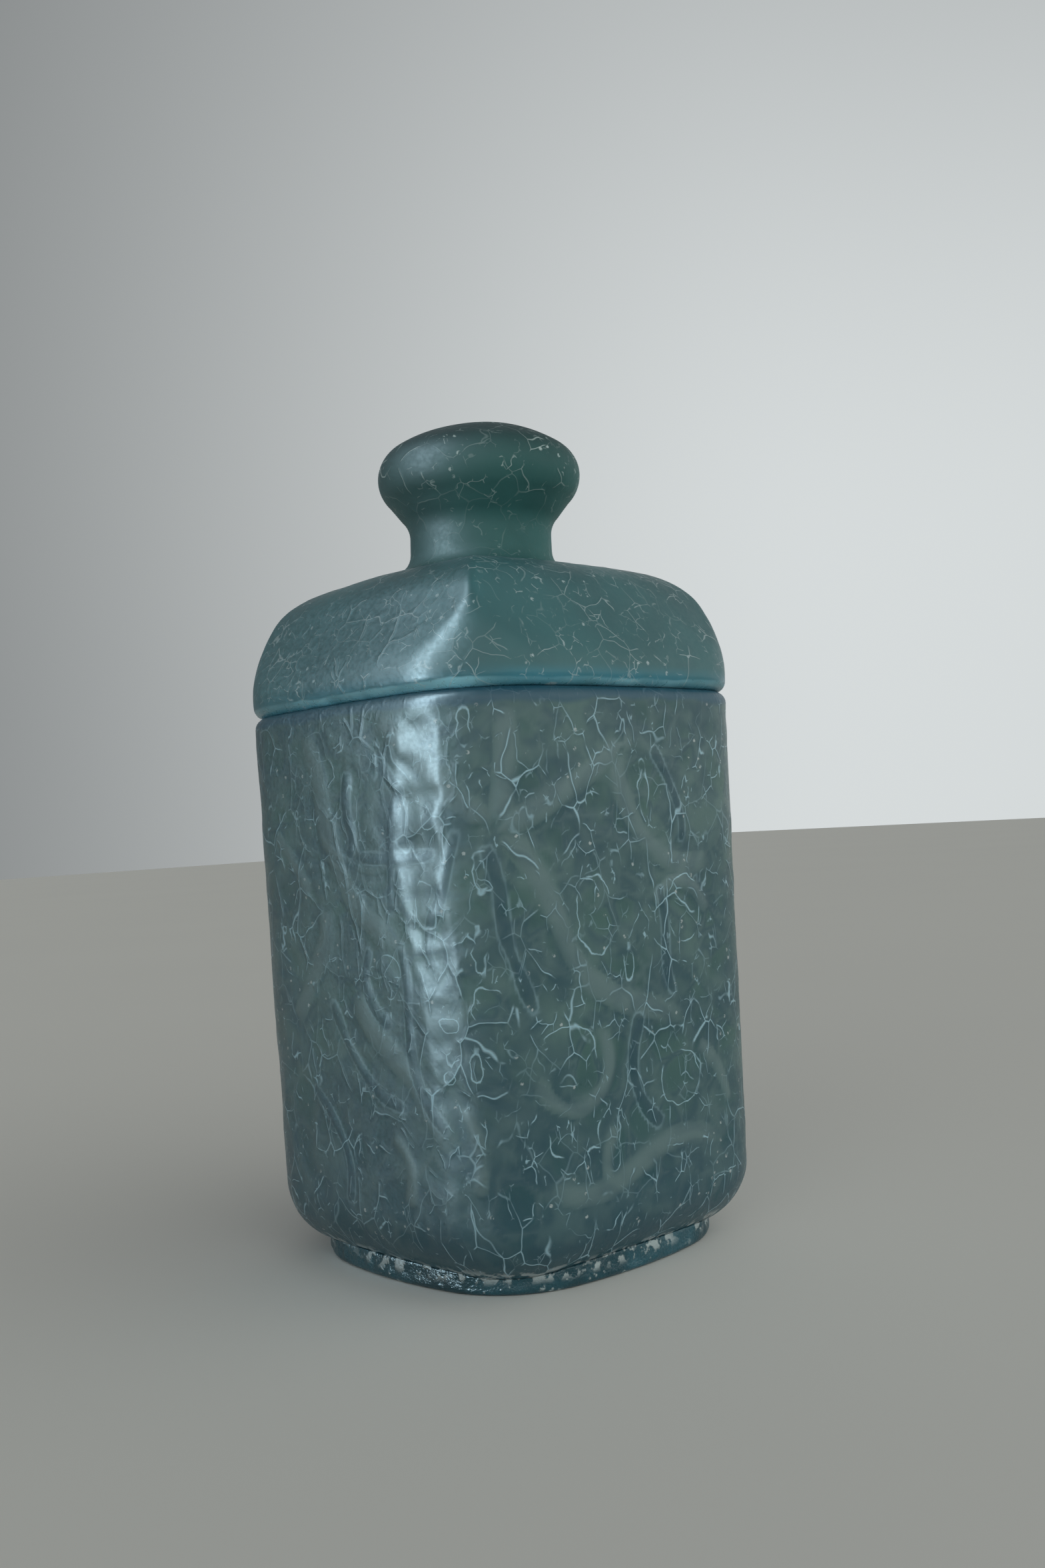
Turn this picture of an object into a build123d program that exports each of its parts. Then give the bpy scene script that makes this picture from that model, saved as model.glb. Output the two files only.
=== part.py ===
from build123d import *
import math
import os

os.makedirs("parts", exist_ok=True)

# Square crackle-glass canister with a drop-in lid.
# Millimetres, +Z up, origin at the centre of the foot's underside, faces square to X and Y.

# Jar
seam_height = 134.0          # top of the jar, where the lid rests
half_width = 51.0            # axis to the middle of a side, at the seam
corner_radius = 26.0         # plan radius of the corners, at the seam
side_radius = 256.0          # plan radius of the gently bowed sides
side_draft = 0.95            # degrees, the jar narrows towards its base
wall = 5.0
base_height = 3.0            # underside of the jar's base above the table
base_thickness = 6.5
base_round = 15.5            # round between the sides and the base
cavity_round = 12.0          # the same round inside
rim_outer_round = 2.8        # makes a groove with the lid's own rim
rim_inner_round = 1.2

# Foot
foot_half_width = 42.2
foot_corner_radius = 26.0
foot_side_radius = 110.0
foot_height = 5.2            # top of the foot's side, where it meets the jar
foot_edge_round = 0.8
foot_ring_width = 8.0        # width of the ring that touches the table
foot_recess_depth = 1.2

# Lid
dome_height = 34.4           # crown above the seam
dome_side_power = 2.8        # higher keeps the sides upright for longer
dome_crown_power = 3.2       # higher keeps the crown flatter
dome_top_half_width = 14.0   # flat at the crown, under the knob
crown_corner_share = 0.20    # corner radius over half width, at the crown
corner_fade = 2.8            # higher tightens the corners later on the way up
dome_sections = 9
roof_thickness = 5.0
plug_depth = 7.0             # how far the plug drops into the mouth
plug_gap = 1.4               # plug to mouth, each side
plug_thickness = 3.6
plug_edge_round = 0.8

# Seal, in a groove round the plug
seal_gap = 0.4               # seal to mouth, each side
seal_height = 3.2
seal_drop = 2.2              # seal's upper edge below the seam
seal_edge_round = 0.4
groove_depth = 0.8

# Knob, heights above the seam
knob_radius = 25.7
knob_widest = 58.2           # level of its widest point
knob_crown = 13.4            # top above the widest level
knob_edge = 8.5              # radius over the edge
knob_roll = 9.0              # radius under the edge
knob_throat = 7.0            # hollow radius between the underside and the neck
knob_slope = 45              # degrees, where the roll turns into the throat
neck_radius = 18.0
neck_top = 43.0              # where the throat ends and the neck is upright
neck_bottom = 39.0           # where the neck starts to flare
neck_flare = 4.5
neck_root = 30.0             # inside the crown, cut to its shape


def plan(height, half, corner, side):
    """A level square face with bowed sides and round corners."""
    chord = half
    for _ in range(20):
        chord = half - (side - math.sqrt(side**2 - chord**2))
    corners = [(chord, -chord), (chord, chord), (-chord, chord), (-chord, -chord)]
    with BuildSketch(Plane.XY.offset(height)) as face:
        with BuildLine():
            for start, end in zip(corners, corners[1:] + corners[:1]):
                SagittaArc(start, end, chord - half)
        make_face()
        fillet(face.vertices(), corner)
    return face.sketch


def jar_plan(height, inset):
    """The jar's outline at a height, moved in by an inset."""
    less = inset + (seam_height - height) * math.tan(math.radians(side_draft))
    return plan(height, half_width - less, corner_radius - less, side_radius - less)


def mouth_plan(height, inset):
    """The outline of the jar's mouth, moved in by an inset, at any height."""
    less = wall + inset
    return plan(height, half_width - less, corner_radius - less, side_radius - less)


def dome(inset, base, rise):
    """The levels of a four-sided dome, from its rim to the flat under the knob."""
    half = half_width - inset
    rim_share = (corner_radius - inset) / half
    last_turn = math.acos((dome_top_half_width / half) ** (dome_crown_power / 2))
    levels = []
    for step in range(dome_sections):
        turn = last_turn * step / (dome_sections - 1)
        lift = math.sin(turn) ** (2 / dome_side_power)
        spread = math.cos(turn) ** (2 / dome_crown_power)
        share = crown_corner_share + (rim_share - crown_corner_share) * (1 - lift**corner_fade)
        level_half = half * spread
        levels.append(plan(base + rise * lift, level_half, level_half * share, side_radius * spread))
    return levels


# Jar body
with BuildPart() as jar_cavity:
    floor = base_height + base_thickness
    extrude(jar_plan(floor, wall), amount=seam_height - floor + 1, taper=-side_draft)
    fillet(jar_cavity.edges().group_by(Axis.Z)[0], cavity_round)

with BuildPart() as jar_body:
    extrude(jar_plan(base_height, 0), amount=seam_height - base_height, taper=-side_draft)
    fillet(jar_body.edges().group_by(Axis.Z)[0], base_round)
    add(jar_cavity.part, mode=Mode.SUBTRACT)
    fillet(jar_body.faces().sort_by(Axis.Z)[-1].outer_wire().edges(), rim_outer_round)
    fillet(jar_body.faces().sort_by(Axis.Z)[-1].inner_wires()[0].edges(), rim_inner_round)
jar_body.part.label = "jar_body"
export_step(jar_body.part, "parts/jar_body.step")

# Foot, fused to the round under the jar
with BuildPart() as foot:
    extrude(plan(0, foot_half_width, foot_corner_radius, foot_side_radius), amount=foot_height)
    fillet(foot.faces().sort_by(Axis.Z)[0].edges(), foot_edge_round)
    recess_half = foot_half_width - foot_ring_width
    recess_plan = plan(0, recess_half, foot_corner_radius - foot_ring_width, foot_side_radius)
    extrude(recess_plan, amount=foot_recess_depth, mode=Mode.SUBTRACT)
    add(jar_body.part, mode=Mode.SUBTRACT)
foot.part.label = "foot"
export_step(foot.part, "parts/foot.step")

# Lid, a thick dome with a plug that drops into the mouth
plug_foot = seam_height - plug_depth
seal_base = seam_height - seal_drop - seal_height
groove_floor = mouth_plan(seal_base, plug_gap + groove_depth)

with BuildPart() as lid_hollow:
    loft(dome(wall + plug_gap + plug_thickness, plug_foot, dome_height - roof_thickness + plug_depth))

with BuildPart() as lid_shell:
    loft(dome(0, seam_height, dome_height))
    fillet(lid_shell.faces().sort_by(Axis.Z)[0].edges(), rim_outer_round)
    extrude(mouth_plan(plug_foot, plug_gap), amount=plug_depth)
    fillet(lid_shell.faces().sort_by(Axis.Z)[0].edges(), plug_edge_round)
    extrude(mouth_plan(seal_base, plug_gap) - groove_floor, amount=seal_height, mode=Mode.SUBTRACT)
    add(lid_hollow.part, mode=Mode.SUBTRACT)
lid_shell.part.label = "lid_shell"
export_step(lid_shell.part, "parts/lid_shell.step")

# Seal, a clear ring in the plug's groove
with BuildPart() as lid_seal:
    extrude(mouth_plan(seal_base, seal_gap) - groove_floor, amount=seal_height)
    fillet(lid_seal.faces().sort_by(Axis.Z)[0].outer_wire().edges(), seal_edge_round)
    fillet(lid_seal.faces().sort_by(Axis.Z)[-1].outer_wire().edges(), seal_edge_round)
lid_seal.part.label = "lid_seal"
export_step(lid_seal.part, "parts/lid_seal.step")

# Knob, turned about the axis and fused on the crown
widest = seam_height + knob_widest
edge_centre = knob_radius - knob_edge
crown_radius = (edge_centre**2 + knob_crown**2 - knob_edge**2) / (2 * (knob_crown - knob_edge))
crown_turn = math.degrees(math.acos(edge_centre / (crown_radius - knob_edge)))
slope_in = 1 - math.cos(math.radians(knob_slope))
slope_down = math.sin(math.radians(knob_slope))
roll_end = (knob_radius - knob_roll * slope_in, widest - knob_roll * slope_down)
throat_end = (neck_radius, seam_height + neck_top)
throat_start = (neck_radius + knob_throat * slope_in, throat_end[1] + knob_throat * slope_down)
flare_start = (neck_radius, seam_height + neck_bottom)
flare_end = (neck_radius + neck_flare, flare_start[1] - neck_flare)
root = seam_height + neck_root

with BuildPart() as lid_knob:
    with BuildSketch(Plane.XZ):
        with BuildLine():
            CenterArc((edge_centre, widest), knob_edge, 0, crown_turn)
            CenterArc((0, widest + knob_crown - crown_radius), crown_radius, crown_turn, 90 - crown_turn)
            TangentArc((knob_radius, widest), roll_end, tangent=(0, -1))
            Line(roll_end, throat_start)
            RadiusArc(throat_start, throat_end, -knob_throat)
            Line(throat_end, flare_start)
            RadiusArc(flare_start, flare_end, -neck_flare)
            Polyline(flare_end, (flare_end[0], root), (0, root), (0, widest + knob_crown))
        make_face()
    revolve(axis=Axis.Z)
    add(lid_shell.part, mode=Mode.SUBTRACT)
lid_knob.part.label = "lid_knob"
export_step(lid_knob.part, "parts/lid_knob.step")
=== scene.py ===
import math

import bmesh
import bpy
from mathutils import Matrix, Vector, noise
from mathutils.bvhtree import BVHTree
from mathutils.kdtree import KDTree


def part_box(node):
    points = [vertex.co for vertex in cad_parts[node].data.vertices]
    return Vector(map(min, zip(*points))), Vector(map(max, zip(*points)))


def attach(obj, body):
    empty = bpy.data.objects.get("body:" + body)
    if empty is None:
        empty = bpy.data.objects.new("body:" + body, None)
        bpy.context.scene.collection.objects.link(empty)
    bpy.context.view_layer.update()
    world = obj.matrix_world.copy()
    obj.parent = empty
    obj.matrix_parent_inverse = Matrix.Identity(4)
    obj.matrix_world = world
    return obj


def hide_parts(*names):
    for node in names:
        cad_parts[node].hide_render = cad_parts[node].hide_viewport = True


# Square crackle-glass canister with a domed drop-in lid. Shapes are in millimetres until toPiece.
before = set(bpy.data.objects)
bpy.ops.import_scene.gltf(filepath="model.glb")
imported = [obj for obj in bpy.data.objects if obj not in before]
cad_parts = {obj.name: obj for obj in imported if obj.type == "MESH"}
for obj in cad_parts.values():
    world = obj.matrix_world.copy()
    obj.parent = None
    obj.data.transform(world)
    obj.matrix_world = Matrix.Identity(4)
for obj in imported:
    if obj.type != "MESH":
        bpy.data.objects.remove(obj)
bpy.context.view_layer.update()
millimetre = 0.001
skinLength = 600.0                                 # section length that one unit of the skin map stands for
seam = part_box("jar_body")[1].z / millimetre        # where the lid rests on the jar
print("frame loaded, seam at", round(seam, 2))


def smooth(low, high, value):
    share = min(max((value - low) / (high - low), 0.0), 1.0)
    return share * share * (3 - 2 * share)


def outlinePoint(around, half, corner, side, inset=0.0):
    # a square with bowed sides and round corners; around runs 0 to 1 from the middle of the +X side
    bow = side - half
    centre = (math.sqrt(2 * (side - corner) ** 2 - bow**2) - bow) / 2
    sideTurn = math.atan2(centre, centre + bow)
    quarter = 2 * side * sideTurn + corner * (math.pi / 2 - 2 * sideTurn)
    quarterTurns, part = divmod((around % 1) * 4, 1)
    along = part * quarter
    if along < side * sideTurn:
        turn = along / side
        middle = Vector((-bow, 0, 0))
        radius = side
    elif along < quarter - side * sideTurn:
        turn = sideTurn + (along - side * sideTurn) / corner
        middle = Vector((centre, centre, 0))
        radius = corner
    else:
        turn = math.pi / 2 - (quarter - along) / side
        middle = Vector((0, -bow, 0))
        radius = side
    point = middle + Vector((math.cos(turn), math.sin(turn), 0)) * (radius - inset)
    return Matrix.Rotation(quarterTurns * math.pi / 2, 3, "Z") @ point


def arcRows(level, centreInset, centreHeight, radius, start, end, steps):
    # rows round an arc seen in section; 0 degrees points outwards and 90 up
    rows = []
    for step in range(steps + 1):
        turn = math.radians(start + (end - start) * step / steps)
        rows.append(level(centreHeight + radius * math.sin(turn), centreInset - radius * math.cos(turn)))
    return rows


def spinLine(bm, line, columns):
    for first, second in zip(line, line[1:]):
        bm.edges.new((first, second))
    bmesh.ops.spin(bm, geom=bm.verts[:] + bm.edges[:], cent=(0, 0, 0), axis=(0, 0, 1), dvec=(0, 0, 0),
                   angle=math.tau, steps=columns, use_merge=True, use_duplicate=False)


def spinRows(rows, columns):
    # spins one upright line of points, then moves every point out to its row's outline
    bm = bmesh.new()
    rowLayer = bm.verts.layers.int.new("row")
    aroundLayer = bm.verts.layers.float.new("around")
    line = []
    for index in range(len(rows)):
        vert = bm.verts.new((10 + index, 0, 0))
        vert[rowLayer] = index
        line.append(vert)
    spinLine(bm, line, columns)
    for vert in bm.verts:
        around = math.atan2(vert.co.y, vert.co.x) / math.tau % 1
        height, half, corner, side, inset, scale = rows[vert[rowLayer]]
        point = outlinePoint(around, half, corner, side, inset) * scale
        vert.co = (point.x, point.y, height)
        vert[aroundLayer] = around
    wrapSkin(bm, rows)
    bmesh.ops.remove_doubles(bm, verts=bm.verts, dist=0.0005)
    bmesh.ops.recalc_face_normals(bm, faces=bm.faces)
    bm.normal_update()
    return bm


def wrapSkin(bm, rows):
    # a UV map that unrolls the skin: round the piece from its rear corner, and along the section
    lengths = [0.0]
    for first, second in zip(rows, rows[1:]):
        inward = (second[1] - second[4]) * second[5] - (first[1] - first[4]) * first[5]
        lengths.append(lengths[-1] + math.hypot(inward, second[0] - first[0]))
    rowLayer = bm.verts.layers.int["row"]
    aroundLayer = bm.verts.layers.float["around"]
    skin = bm.loops.layers.uv.new("skin")
    for face in bm.faces:
        across = [(loop.vert[aroundLayer] - 3 / 8) % 1 for loop in face.loops]
        if max(across) - min(across) > 0.5:
            across = [share + 1 if share < 0.5 else share for share in across]
        for loop, share in zip(face.loops, across):
            loop[skin].uv = (share, lengths[loop.vert[rowLayer]] / skinLength)


def newObject(bm, name, material):
    mesh = bpy.data.meshes.new(name)
    bm.to_mesh(mesh)
    bm.free()
    mesh.materials.append(material)
    made = bpy.data.objects.new(name, mesh)
    bpy.context.scene.collection.objects.link(made)
    return made


def toPiece(bm, name, body, node, material):
    bmesh.ops.scale(bm, vec=(millimetre,) * 3, verts=bm.verts)
    for face in bm.faces:
        face.smooth = True
    piece = newObject(bm, name, material)
    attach(piece, body)
    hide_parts(node)
    print(name, "made,", len(piece.data.polygons), "faces")
    return piece


def addNode(tree, kind, inputs=None, **settings):
    node = tree.nodes.new("ShaderNode" + kind)
    for name, value in settings.items():
        setattr(node, name, value)
    for name, value in (inputs or {}).items():
        if isinstance(value, bpy.types.NodeSocket):
            tree.links.new(value, node.inputs[name])
        else:
            node.inputs[name].default_value = value
    return node


def calc(tree, operation, first, second=0.5):
    return addNode(tree, "Math", {0: first, 1: second}, operation=operation).outputs[0]


def times(tree, first, second):
    return calc(tree, "MULTIPLY", first, second)


def largest(tree, first, *others):
    for other in others:
        first = calc(tree, "MAXIMUM", first, other)
    return first


def mixColour(tree, share, first, second, blend="MIX"):
    node = addNode(tree, "Mix", {0: share, 6: first, 7: second}, data_type="RGBA", blend_type=blend)
    return node.outputs[2]


def remap(tree, value, low, high, newLow=0.0, newHigh=1.0):
    inputs = {"Value": value, "From Min": low, "From Max": high, "To Min": newLow, "To Max": newHigh}
    return addNode(tree, "MapRange", inputs, interpolation_type="SMOOTHSTEP").outputs[0]


def noiseShare(tree, place, scale, detail=2.0):
    return addNode(tree, "TexNoise", {"Vector": place, "Scale": scale, "Detail": detail}).outputs["Fac"]


def heightOf(tree, place):
    return addNode(tree, "SeparateXYZ", {0: place}).outputs["Z"]


def newGroup(name, inputs, outputs):
    group = bpy.data.node_groups.new(name, "ShaderNodeTree")
    for socket, kind in inputs.items():
        group.interface.new_socket(socket, in_out="INPUT", socket_type="NodeSocket" + kind)
    for socket, kind in outputs.items():
        group.interface.new_socket(socket, in_out="OUTPUT", socket_type="NodeSocket" + kind)
    return group, group.nodes.new("NodeGroupInput").outputs, group.nodes.new("NodeGroupOutput").inputs


def makeCrackGroup():
    # thin broken lines between warped cells; Cover is the share of the lines that is left out
    group, given, result = newGroup(
        "crackLines",
        {"Vector": "Vector", "Scale": "Float", "Width": "Float", "Warp": "Float", "Cover": "Float"},
        {"Lines": "Float", "Halo": "Float"})
    place = given["Vector"]
    scale = given["Scale"]
    wobble = addNode(group, "TexNoise", {"Vector": place, "Scale": times(group, scale, 1.1), "Detail": 1.5})
    colour = wobble.outputs["Color"]
    centred = addNode(group, "VectorMath", {0: colour, 1: (0.5, 0.5, 0.5)}, operation="SUBTRACT")
    pushed = addNode(group, "VectorMath", {0: centred.outputs[0], "Scale": given["Warp"]}, operation="SCALE")
    moved = addNode(group, "VectorMath", {0: place, 1: pushed.outputs[0]}, operation="ADD").outputs[0]
    cells = addNode(group, "TexVoronoi", {"Vector": moved, "Scale": scale}, feature="DISTANCE_TO_EDGE")
    edge = cells.outputs["Distance"]
    thin = remap(group, edge, 0.0, given["Width"], 1.0, 0.0)
    wide = remap(group, edge, 0.0, times(group, given["Width"], 5.0), 1.0, 0.0)
    patches = noiseShare(group, place, scale, 3.0)
    kept = remap(group, patches, given["Cover"], calc(group, "ADD", given["Cover"], 0.07))
    strength = remap(group, noiseShare(group, place, times(group, scale, 0.45), 1.0), 0.36, 0.64, 0.22, 1.0)
    kept = times(group, kept, strength)
    group.links.new(times(group, thin, kept), result["Lines"])
    group.links.new(times(group, wide, kept), result["Halo"])
    return group


def makeFrostGroup():
    # soft clouds and fine grain for satin glass
    group, given, result = newGroup(
        "frost", {"Vector": "Vector", "Scale": "Float"}, {"Cloud": "Float", "Grain": "Float"})
    cloud = noiseShare(group, given["Vector"], given["Scale"], 4.0)
    grain = noiseShare(group, given["Vector"], times(group, given["Scale"], 28.0))
    group.links.new(remap(group, cloud, 0.3, 0.7), result["Cloud"])
    group.links.new(grain, result["Grain"])
    return group


def makeChipGroup():
    # small pale flecks; Rarity nearer 1 leaves fewer
    group, given, result = newGroup(
        "chips", {"Vector": "Vector", "Scale": "Float", "Rarity": "Float"}, {"Chips": "Float"})
    cells = addNode(group, "TexVoronoi", {"Vector": given["Vector"], "Scale": given["Scale"]}, feature="F1")
    split = addNode(group, "SeparateColor", {0: cells.outputs["Color"]})
    fleck = remap(group, cells.outputs["Distance"], 0.16, 0.30, 1.0, 0.0)
    chosen = calc(group, "GREATER_THAN", split.outputs[0], given["Rarity"])
    ragged = noiseShare(group, given["Vector"], times(group, given["Scale"], 3.0))
    torn = remap(group, ragged, 0.42, 0.55)
    group.links.new(times(group, times(group, fleck, chosen), torn), result["Chips"])
    return group


def makeLevelGroup():
    # a thin line where a value passes a level
    group, given, result = newGroup(
        "levelLine", {"Value": "Float", "Level": "Float", "Width": "Float"}, {"Line": "Float"})
    gap = calc(group, "ABSOLUTE", calc(group, "SUBTRACT", given["Value"], given["Level"]))
    group.links.new(remap(group, gap, 0.0, given["Width"], 1.0, 0.0), result["Line"])
    return group


crackGroup = makeCrackGroup()
frostGroup = makeFrostGroup()
chipGroup = makeChipGroup()
levelGroup = makeLevelGroup()
print("node groups made")


def useGroup(tree, group, inputs):
    node = tree.nodes.new("ShaderNodeGroup")
    node.node_tree = group
    for name, value in inputs.items():
        if isinstance(value, bpy.types.NodeSocket):
            tree.links.new(value, node.inputs[name])
        else:
            node.inputs[name].default_value = value
    return node.outputs


def useCracks(tree, place, settings):
    scale, width, warp, cover = settings
    inputs = {"Vector": place, "Scale": scale, "Width": width, "Warp": warp, "Cover": cover}
    return useGroup(tree, crackGroup, inputs)


def useFrost(tree, place, scale):
    frost = useGroup(tree, frostGroup, {"Vector": place, "Scale": scale})
    return frost["Cloud"], frost["Grain"]


def useChips(tree, place, settings):
    scale, rarity = settings
    return useGroup(tree, chipGroup, {"Vector": place, "Scale": scale, "Rarity": rarity})["Chips"]


def useLevel(tree, value, level, width):
    return useGroup(tree, levelGroup, {"Value": value, "Level": level, "Width": width})["Line"]


def newMaterial(name):
    material = bpy.data.materials.new(name)
    material.use_nodes = True
    tree = material.node_tree
    shader = tree.nodes["Principled BSDF"]
    place = tree.nodes.new("ShaderNodeTexCoord").outputs["Object"]
    return material, tree, shader, place


def finishGlass(tree, shader, look, colour, rough, height, strength, depth=0.0004):
    # links what varies over the surface, and sets what doesn't on the shader itself
    tree.links.new(colour, shader.inputs["Base Color"])
    tree.links.new(rough, shader.inputs["Roughness"])
    bump = addNode(tree, "Bump", {"Height": height, "Strength": strength, "Distance": depth})
    tree.links.new(bump.outputs[0], shader.inputs["Normal"])
    shader.inputs["Transmission Weight"].default_value = look["transmission"]
    shader.inputs["IOR"].default_value = look["bending"]
    if "coat" in look:
        shader.inputs["Coat Weight"].default_value = look["coat"]
        shader.inputs["Coat Roughness"].default_value = look["coatRoughness"]
        shader.inputs["Specular IOR Level"].default_value = look["gloss"]


# cracks are given as scale, width, warp and cover, and chips as scale and rarity
jarLook = {
    "cell": (0.088, 0.206, 0.184, 1),
    "band": (0.185, 0.290, 0.300, 1),
    "murk": (0.042, 0.135, 0.142, 1),
    # edge is the dark blue of vein cores, contours and crack halos, and also serves as painted shade along
    # the bands' borders
    "edge": (0.016, 0.090, 0.135, 1),
    "crack": (0.56, 0.84, 0.96, 1),
    "white": (0.78, 0.84, 0.84, 1),
    "deep": (0.012, 0.098, 0.140, 1),
    # the colour that follows is painted shade: dark blue where the lid shades the jar's rounded top
    "rim": (0.018, 0.115, 0.190, 1),
    "largeCracks": (112.0, 0.020, 0.004, 0.45),
    "smallCracks": (190.0, 0.026, 0.003, 0.50),
    "ticks": (330.0, 0.050, 0.002, 0.60),
    "chips": (520.0, 0.93),
    "stretch": 0.72,                 # cracks run further up than across
    "deepFrom": 0.060, "deepTo": 0.008,    # metres above the table, where the glass darkens
    "rimFrom": -2.0, "rimTo": -0.4,  # millimetres from the seam where the painted shade under the lid, in dark blue, starts and is full
    "creaseFrom": 0.0100, "creaseTo": 0.0078,    # metres above the table, where torn white glass starts
    "transmission": 0.4, "bending": 1.5, "coat": 0.28, "coatRoughness": 0.27, "gloss": 0.3,
}


def makeJarGlass():
    look = jarLook
    material, tree, shader, place = newMaterial("crackleGlass")
    skin = addNode(tree, "UVMap", uv_map="skin").outputs[0]
    size = (perimeter * millimetre, skinLength * millimetre * look["stretch"], 1.0)
    flat = addNode(tree, "Mapping", {"Vector": skin, "Scale": size}).outputs[0]
    ridge = addNode(tree, "Attribute", attribute_name="ridge").outputs["Fac"]
    rope = addNode(tree, "Attribute", attribute_name="rope").outputs["Fac"]
    ring = addNode(tree, "Attribute", attribute_name="ring").outputs["Fac"]
    level = heightOf(tree, place)
    cloud, grain = useFrost(tree, place, 42.0)
    large = useCracks(tree, flat, look["largeCracks"])
    small = useCracks(tree, flat, look["smallCracks"])
    ticks = useCracks(tree, flat, look["ticks"])
    patch = noiseShare(tree, place, 120.0)
    swirl = noiseShare(tree, place, 24.0, 1.0)
    contours = remap(tree, calc(tree, "SINE", times(tree, swirl, 95.0)), -1.0, 1.0)
    contours = times(tree, contours, remap(tree, cloud, 0.25, 0.75))
    loopLine = times(tree, useLevel(tree, ring, 0.0, 0.22), remap(tree, patch, 0.44, 0.54))
    # painted shade: dark blue along the bands' borders, standing in for the shade of the raised bands
    bandShadeLine = times(tree, useLevel(tree, ridge, 0.34, 0.26), remap(tree, patch, 0.62, 0.42))
    ropeLine = useLevel(tree, rope, 0.30, 0.30)
    lines = largest(tree, large["Lines"], small["Lines"], loopLine, ticks["Lines"])
    halo = largest(tree, large["Halo"], small["Halo"])
    # glass first, then the veins, then the cracks on top
    colour = mixColour(tree, cloud, look["cell"], look["murk"])
    low = remap(tree, level, look["deepFrom"], look["deepTo"], 0.0, 0.85)
    colour = mixColour(tree, low, colour, look["deep"])
    colour = mixColour(tree, times(tree, ridge, 0.95), colour, look["band"])
    colour = mixColour(tree, times(tree, contours, 0.25), colour, look["edge"])
    colour = mixColour(tree, times(tree, rope, 0.6), colour, look["edge"])
    colour = mixColour(tree, times(tree, ropeLine, 0.30), colour, look["crack"])
    colour = mixColour(tree, times(tree, bandShadeLine, 0.55), colour, look["edge"])
    colour = mixColour(tree, times(tree, halo, 0.32), colour, look["edge"])
    colour = mixColour(tree, times(tree, lines, 0.95), colour, look["crack"])
    colour = mixColour(tree, times(tree, useChips(tree, place, look["chips"]), 0.75), colour, look["white"])
    # painted shade in dark blue on the jar's rounded top, where the lid shades it, and torn white glass along
    # the foot
    wavy = calc(tree, "ADD", level, times(tree, noiseShare(tree, place, 60.0), 0.004))
    rimStart = (seam + look["rimFrom"]) * millimetre
    rimFull = (seam + look["rimTo"]) * millimetre
    colour = mixColour(tree, times(tree, remap(tree, wavy, rimStart, rimFull), 0.85), colour, look["rim"])
    torn = remap(tree, noiseShare(tree, place, 330.0, 3.0), 0.50, 0.57)
    crease = times(tree, torn, remap(tree, wavy, look["creaseFrom"], look["creaseTo"]))
    colour = mixColour(tree, times(tree, crease, 0.8), colour, look["white"])
    height = calc(tree, "ADD", times(tree, large["Halo"], 0.6), times(tree, small["Halo"], 0.35))
    height = calc(tree, "ADD", height, times(tree, grain, 0.14))
    height = calc(tree, "ADD", height, times(tree, contours, -0.3))
    finishGlass(tree, shader, look, colour, remap(tree, grain, 0.3, 0.7, 0.40, 0.52), height, 0.45)
    return material


lidLook = {
    "glass": (0.052, 0.205, 0.220, 1),
    "murk": (0.036, 0.140, 0.155, 1),
    "lip": (0.060, 0.330, 0.450, 1),
    "seamLine": (0.42, 0.86, 1.0, 1),
    "crack": (0.72, 0.84, 0.86, 1),
    "largeCracks": (135.0, 0.022, 0.004, 0.46),
    "smallCracks": (250.0, 0.034, 0.003, 0.51),
    "chips": (470.0, 0.93),
    "lipFrom": 6.5, "lipTo": 2.0,        # millimetres above the seam
    "lineFrom": 3.1, "lineTo": 2.5,
    "transmission": 0.4, "bending": 1.5, "coat": 0.22, "coatRoughness": 0.48, "gloss": 0.35,
}


def makeLidGlass():
    look = lidLook
    material, tree, shader, place = newMaterial("satinLidGlass")
    cloud, grain = useFrost(tree, place, 30.0)
    large = useCracks(tree, place, look["largeCracks"])
    small = useCracks(tree, place, look["smallCracks"])
    pale = largest(tree, large["Lines"], small["Lines"], useChips(tree, place, look["chips"]))
    wave = noiseShare(tree, place, 90.0)
    wavy = calc(tree, "ADD", heightOf(tree, place), times(tree, wave, 0.002))
    lip = remap(tree, wavy, (seam + look["lipFrom"]) * millimetre, (seam + look["lipTo"]) * millimetre)
    line = remap(tree, wavy, (seam + look["lineFrom"]) * millimetre, (seam + look["lineTo"]) * millimetre)
    colour = mixColour(tree, cloud, look["glass"], look["murk"])
    uneven = remap(tree, wave, 0.35, 0.65, 0.45, 0.95)
    colour = mixColour(tree, times(tree, lip, uneven), colour, look["lip"])
    broken = remap(tree, cloud, 0.2, 0.8, 0.25, 0.95)
    colour = mixColour(tree, times(tree, line, broken), colour, look["seamLine"])
    colour = mixColour(tree, times(tree, pale, 0.75), colour, look["crack"])
    rough = calc(tree, "SUBTRACT", remap(tree, grain, 0.3, 0.7, 0.40, 0.52), times(tree, lip, 0.14))
    height = calc(tree, "ADD", times(tree, large["Halo"], 0.4), times(tree, grain, 0.15))
    finishGlass(tree, shader, look, colour, rough, height, 0.4)
    return material


knobLook = {
    "glass": (0.048, 0.185, 0.175, 1),
    "murk": (0.030, 0.125, 0.122, 1),
    # painted shade: the knob's top darkens to this colour, where little light falls from above
    "topShade": (0.014, 0.036, 0.038, 1),
    "crack": (0.74, 0.86, 0.84, 1),
    "largeCracks": (118.0, 0.022, 0.005, 0.47),
    "smallCracks": (260.0, 0.036, 0.003, 0.54),
    "chips": (430.0, 0.95),
    "topShadeFrom": 55, "topShadeTo": 68,          # millimetres above the seam, where the painted shade on the knob's top starts and is full
    "crackedFrom": 44, "crackedTo": 60,
    "transmission": 0.4, "bending": 1.5, "coat": 0.05, "coatRoughness": 0.4, "gloss": 0.2,
}


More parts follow.
